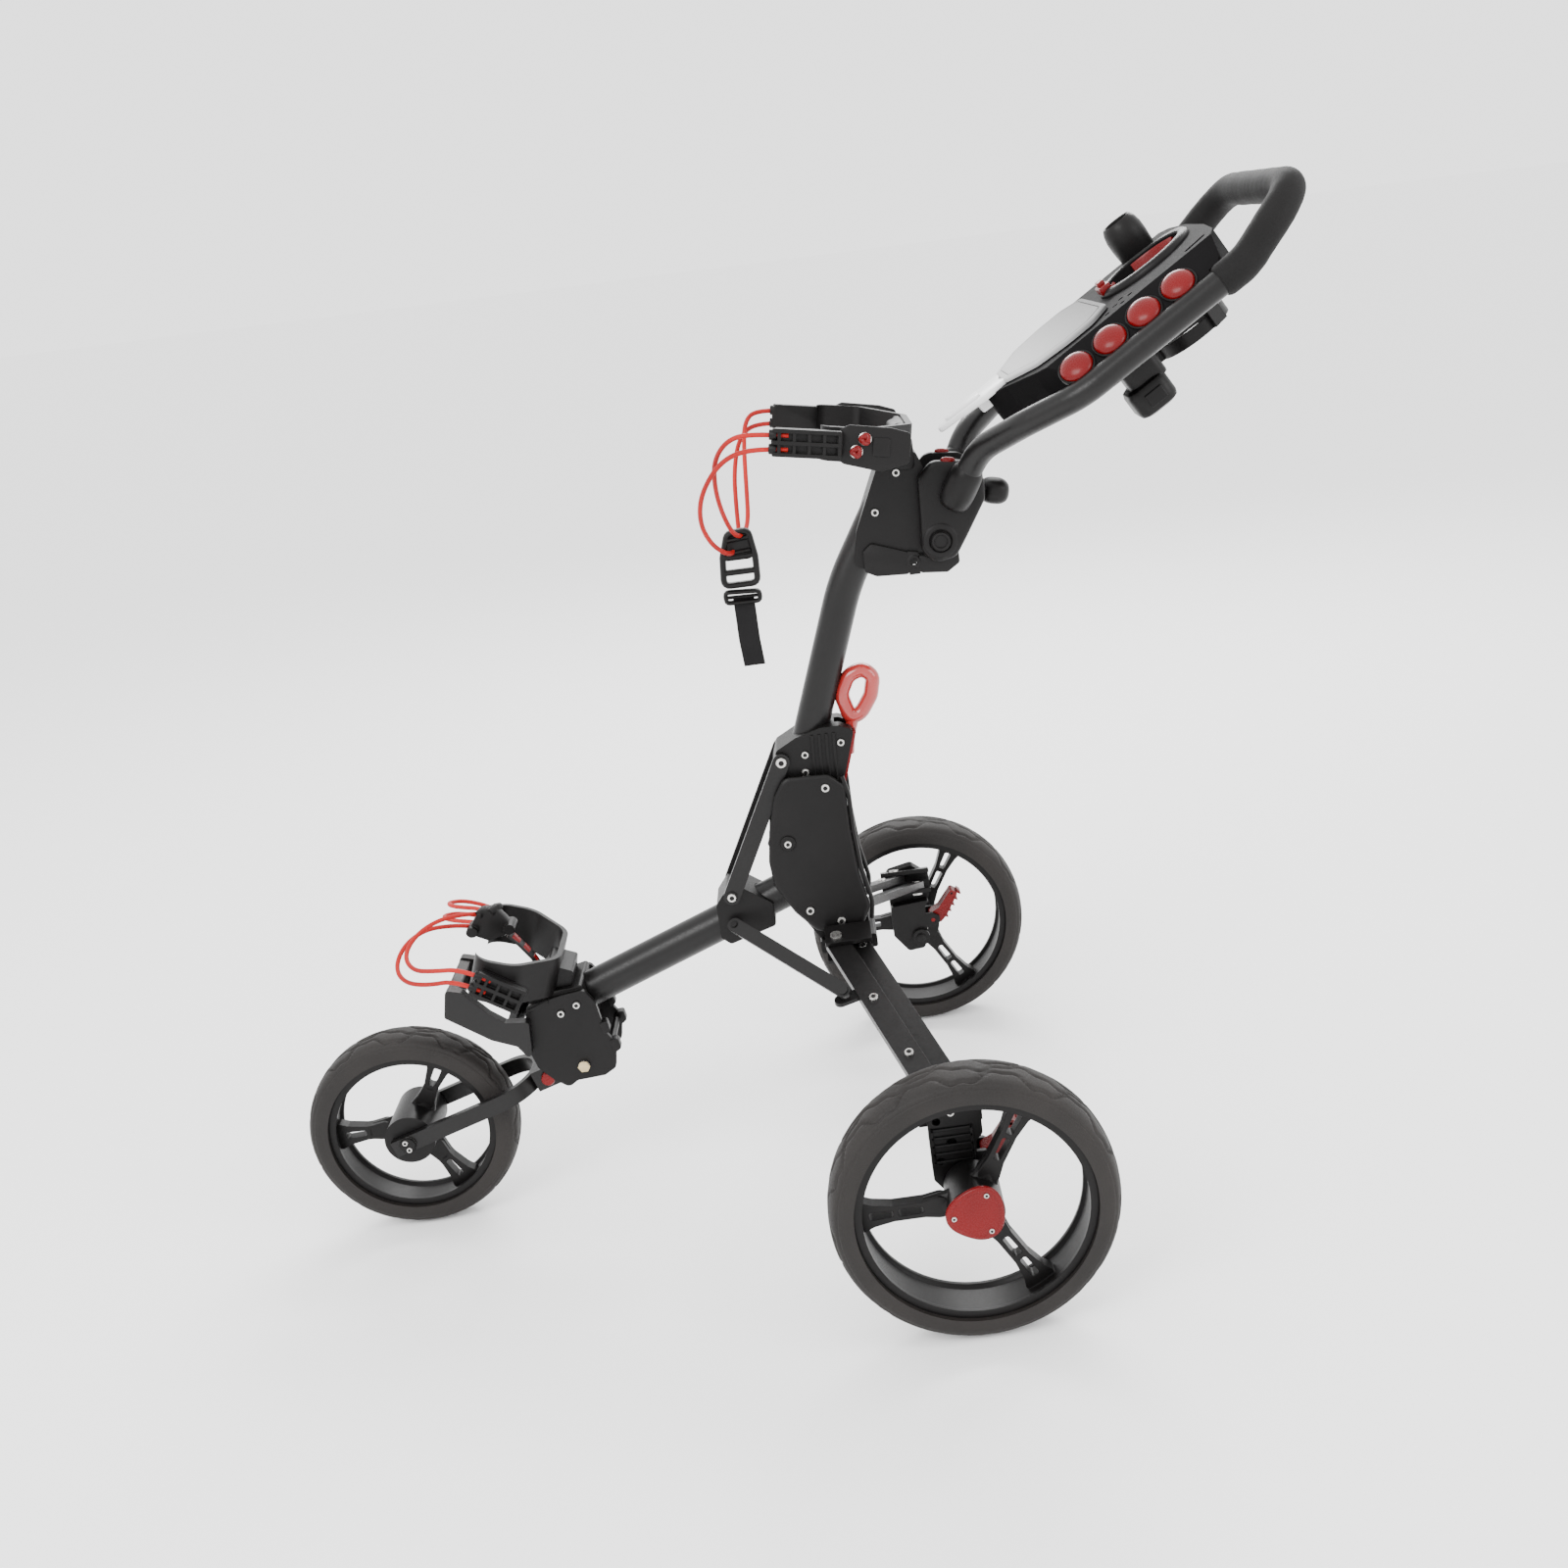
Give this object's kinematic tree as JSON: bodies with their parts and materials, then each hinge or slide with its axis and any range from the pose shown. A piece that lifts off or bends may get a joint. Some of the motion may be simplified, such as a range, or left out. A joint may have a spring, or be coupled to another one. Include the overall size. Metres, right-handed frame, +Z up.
{
  "type": "three-wheeled golf push cart",
  "caption": "Folding three-wheeled push cart for a golf bag, with hinged front fork, leg parallelograms, bag cradles, handle console and elastic cords.",
  "frame": {"origin": "on the ground under the middle of the unfolded cart's length and width", "axes": "-X is forward, towards the front wheel; +X is towards the handle; +Y is the cart's right side; +Z is up"},
  "size_m": [1.1976, 0.773, 1.072],
  "materials": {
    "powder_coat": "satin black powder coat",
    "black_plastic": "moulded black plastic",
    "dark_grey_plastic": "moulded dark grey plastic",
    "silver_plastic": "silver grey painted plastic",
    "red_plastic": "moulded red plastic",
    "tyre_foam": "dark grey-brown foam tyre",
    "grip_foam": "black foam grip",
    "steel": "zinc plated steel",
    "cord_red": "red braided elastic cord",
    "webbing": "black nylon webbing"
  },
  "bodies": {
    "frame": {"front_tube": "powder_coat", "housing_core": "black_plastic", "left_side_cover": "black_plastic", "right_side_cover": "black_plastic", "front_bracket": "black_plastic", "bag_rest": "powder_coat", "lower_cradle": "black_plastic", "lower_cradle_tips": "black_plastic", "frame_screws": "steel", "lower_cord_outer": "cord_red", "lower_cord_inner": "cord_red", "lower_buckle": "black_plastic"},
    "upper_frame": {"upper_tube": "powder_coat", "fold_bracket": "black_plastic", "upper_head": "black_plastic", "parking_hook": "black_plastic", "upper_cradle": "black_plastic", "upper_cradle_tips": "black_plastic", "upper_screws": "steel", "upper_cord_outer": "cord_red", "upper_cord_inner": "cord_red", "upper_buckle": "black_plastic", "upper_strap": "webbing"},
    "pull_lever": {"pull_lever": "red_plastic"},
    "handle": {"handle_tube": "powder_coat", "handle_grip": "grip_foam", "handle_clamp": "black_plastic", "console": "dark_grey_plastic", "tray_ring": "red_plastic", "ball_inserts": "red_plastic", "umbrella_socket": "black_plastic", "cup_basket": "black_plastic", "accessory_block": "black_plastic"},
    "scorecard_lid": {"scorecard_lid": "silver_plastic"},
    "clamp_lever": {"clamp_lever": "black_plastic"},
    "collar": {"collar": "black_plastic"},
    "strut_links": {"strut_links": "powder_coat"},
    "fork": {"fork": "powder_coat", "front_axle": "steel"},
    "fork_button": {"fork_button": "red_plastic"},
    "front_wheel": {"front_tyre": "tyre_foam", "front_rim": "black_plastic"},
    "left_brace": {"left_brace": "powder_coat"},
    "left_front_bar": {"left_front_bar": "powder_coat"},
    "left_rear_bar": {"left_rear_bar": "powder_coat"},
    "left_wheel_bracket": {"left_wheel_bracket": "black_plastic", "left_axle": "steel"},
    "left_brake_pedal": {"left_brake_pedal": "red_plastic"},
    "left_wheel": {"left_tyre": "tyre_foam", "left_rim": "black_plastic", "left_hub_cap": "red_plastic"},
    "right_brace": {"right_brace": "powder_coat"},
    "right_front_bar": {"right_front_bar": "powder_coat"},
    "right_rear_bar": {"right_rear_bar": "powder_coat"},
    "right_wheel_bracket": {"right_wheel_bracket": "black_plastic", "right_axle": "steel"},
    "right_brake_pedal": {"right_brake_pedal": "red_plastic"},
    "right_wheel": {"right_tyre": "tyre_foam", "right_rim": "black_plastic", "right_hub_cap": "red_plastic"}
  },
  "joints": [
    {"name": "main_fold", "type": "hinge", "parent": "frame", "child": "upper_frame", "pos_m": [0.0068, 0, 0.425], "axis": [0, -1, 0], "range_deg": [0, 88]},
    {"name": "lever_pull", "type": "hinge", "parent": "upper_frame", "child": "pull_lever", "pos_m": [0.0878, 0, 0.516], "axis": [0, 1, 0], "range_deg": [0, 14], "stiffness_Nm_per_rad": 0.3, "springref_deg": -5.73},
    {"name": "handle_fold", "type": "hinge", "parent": "upper_frame", "child": "handle", "pos_m": [0.2128, 0, 0.74], "axis": [0, -1, 0], "range_deg": [-100, 12]},
    {"name": "lid_open", "type": "hinge", "parent": "handle", "child": "scorecard_lid", "pos_m": [0.40336, 0, 0.96012], "axis": [0, 1, 0], "range_deg": [0, 100]},
    {"name": "clamp_release", "type": "hinge", "parent": "handle", "child": "clamp_lever", "pos_m": [0.2588, 0, 0.786], "axis": [0, 1, 0], "range_deg": [0, 70]},
    {"name": "collar_slide", "type": "slide", "parent": "frame", "child": "collar", "axis": [-0.9361, 0, -0.3518], "range_m": [0, 0.14777]},
    {"name": "link_swing", "type": "hinge", "parent": "upper_frame", "child": "strut_links", "pos_m": [0.0118, 0, 0.516], "axis": [0, -1, 0], "range_deg": [-105.94, 0]},
    {"name": "left_brace_swing", "type": "hinge", "parent": "collar", "child": "left_brace", "pos_m": [-0.0659, -0.037, 0.334], "axis": [-0.2693, -0.573, 0.774], "range_deg": [0, 44.93]},
    {"name": "left_leg_fold", "type": "hinge", "parent": "frame", "child": "left_front_bar", "pos_m": [0.0461, -0.062, 0.302], "axis": [0, 0.3162, -0.9487], "range_deg": [0, 93.42]},
    {"name": "left_rear_bar_fold", "type": "hinge", "parent": "frame", "child": "left_rear_bar", "pos_m": [0.0735, -0.062, 0.302], "axis": [0, 0.3162, -0.9487], "range_deg": [0, 93.42]},
    {"name": "left_bracket_keep", "type": "hinge", "parent": "left_front_bar", "child": "left_wheel_bracket", "pos_m": [0.1261, -0.29, 0.226], "axis": [0, 0.3162, -0.9487], "range_deg": [-93.42, 0]},
    {"name": "left_wheel_spin", "type": "hinge", "parent": "left_wheel_bracket", "child": "left_wheel", "pos_m": [0.1518, -0.357, 0.145], "axis": [0, 1, 0], "continuous": true},
    {"name": "left_brake", "type": "hinge", "parent": "left_wheel_bracket", "child": "left_brake_pedal", "pos_m": [0.1708, -0.307, 0.166], "axis": [0, 1, 0], "range_deg": [0, 20]},
    {"name": "right_brace_swing", "type": "hinge", "parent": "collar", "child": "right_brace", "pos_m": [-0.0659, 0.037, 0.334], "axis": [0.2693, -0.573, -0.774], "range_deg": [0, 44.93]},
    {"name": "right_leg_fold", "type": "hinge", "parent": "frame", "child": "right_front_bar", "pos_m": [0.0461, 0.062, 0.302], "axis": [0, 0.3162, 0.9487], "range_deg": [0, 93.42]},
    {"name": "right_rear_bar_fold", "type": "hinge", "parent": "frame", "child": "right_rear_bar", "pos_m": [0.0735, 0.062, 0.302], "axis": [0, 0.3162, 0.9487], "range_deg": [0, 93.42]},
    {"name": "right_bracket_keep", "type": "hinge", "parent": "right_front_bar", "child": "right_wheel_bracket", "pos_m": [0.1261, 0.29, 0.226], "axis": [0, 0.3162, 0.9487], "range_deg": [-93.42, 0]},
    {"name": "right_wheel_spin", "type": "hinge", "parent": "right_wheel_bracket", "child": "right_wheel", "pos_m": [0.1518, 0.357, 0.145], "axis": [0, 1, 0], "continuous": true},
    {"name": "right_brake", "type": "hinge", "parent": "right_wheel_bracket", "child": "right_brake_pedal", "pos_m": [0.1708, 0.307, 0.166], "axis": [0, 1, 0], "range_deg": [0, 20]},
    {"name": "fork_fold", "type": "hinge", "parent": "frame", "child": "fork", "pos_m": [-0.2618, 0, 0.1879], "axis": [0, -1, 0], "range_deg": [0, 148]},
    {"name": "button_press", "type": "slide", "parent": "fork", "child": "fork_button", "axis": [0, 1, 0], "range_m": [0, 0.004], "stiffness_N_per_m": 400, "springref_m": -0.001},
    {"name": "front_wheel_spin", "type": "hinge", "parent": "fork", "child": "front_wheel", "pos_m": [-0.4772, 0, 0.1216], "axis": [0, 1, 0], "continuous": true}
  ],
  "couplings": [
    {"joint": "collar_slide", "follows": "main_fold", "m_per_rad": 0.096148},
    {"joint": "link_swing", "follows": "main_fold", "ratio": -1.2038},
    {"joint": "left_brace_swing", "follows": "main_fold", "ratio": 0.51042},
    {"joint": "left_leg_fold", "follows": "main_fold", "ratio": 1.0615},
    {"joint": "left_rear_bar_fold", "follows": "main_fold", "ratio": 1.0615},
    {"joint": "left_bracket_keep", "follows": "main_fold", "ratio": -1.0615},
    {"joint": "right_brace_swing", "follows": "main_fold", "ratio": 0.51042},
    {"joint": "right_leg_fold", "follows": "main_fold", "ratio": 1.0615},
    {"joint": "right_rear_bar_fold", "follows": "main_fold", "ratio": 1.0615},
    {"joint": "right_bracket_keep", "follows": "main_fold", "ratio": -1.0615}
  ]
}
